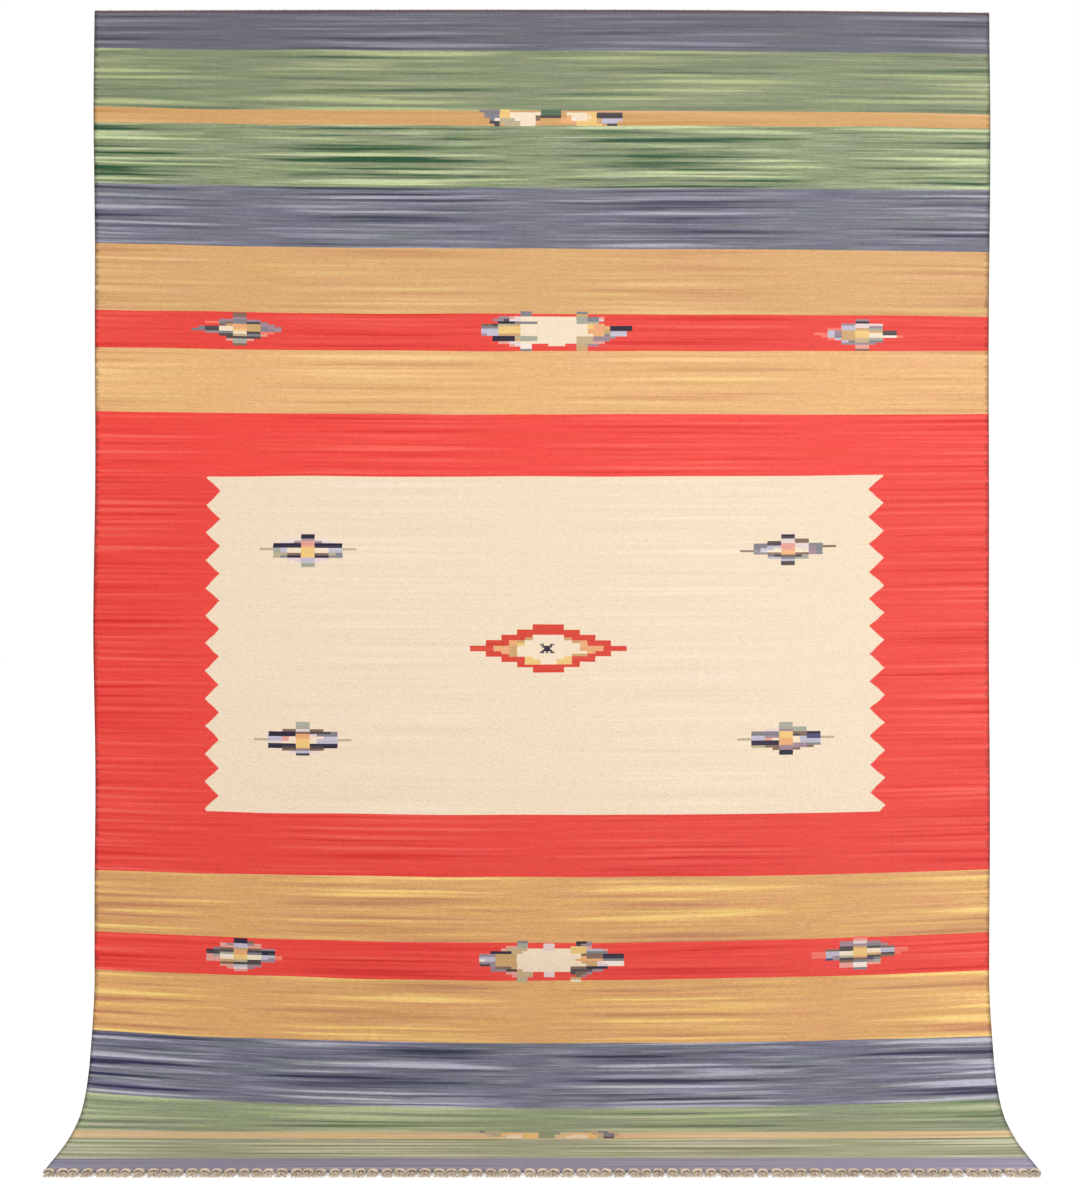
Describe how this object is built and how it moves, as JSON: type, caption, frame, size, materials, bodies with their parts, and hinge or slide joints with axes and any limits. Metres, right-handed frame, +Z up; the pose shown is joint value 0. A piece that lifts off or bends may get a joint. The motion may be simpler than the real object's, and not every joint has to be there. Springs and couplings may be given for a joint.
{
  "type": "dhurrie rug",
  "caption": "Flat-woven dhurrie rug with knotted warp ends, hung face on by its upper end with the lower end swept forward flat on the floor.",
  "frame": {"origin": "bottom centre of the part's box: on the floor, midway across the width and midway from the back to the tips of the foot knots", "axes": "+Z up along the hanging cloth, +X across the width, the face looks towards -Y and the foot sweeps forward towards -Y"},
  "size_m": [1.4024, 0.3634, 1.7257],
  "materials": {
    "woven_wool": "flat-woven wool weft in stripes, matte",
    "warp_cotton": "undyed cotton warp yarn, knotted, matte"
  },
  "bodies": {
    "root": {"rug_cloth": "woven_wool", "foot_knots": "warp_cotton", "head_knots": "warp_cotton"}
  },
  "joints": []
}
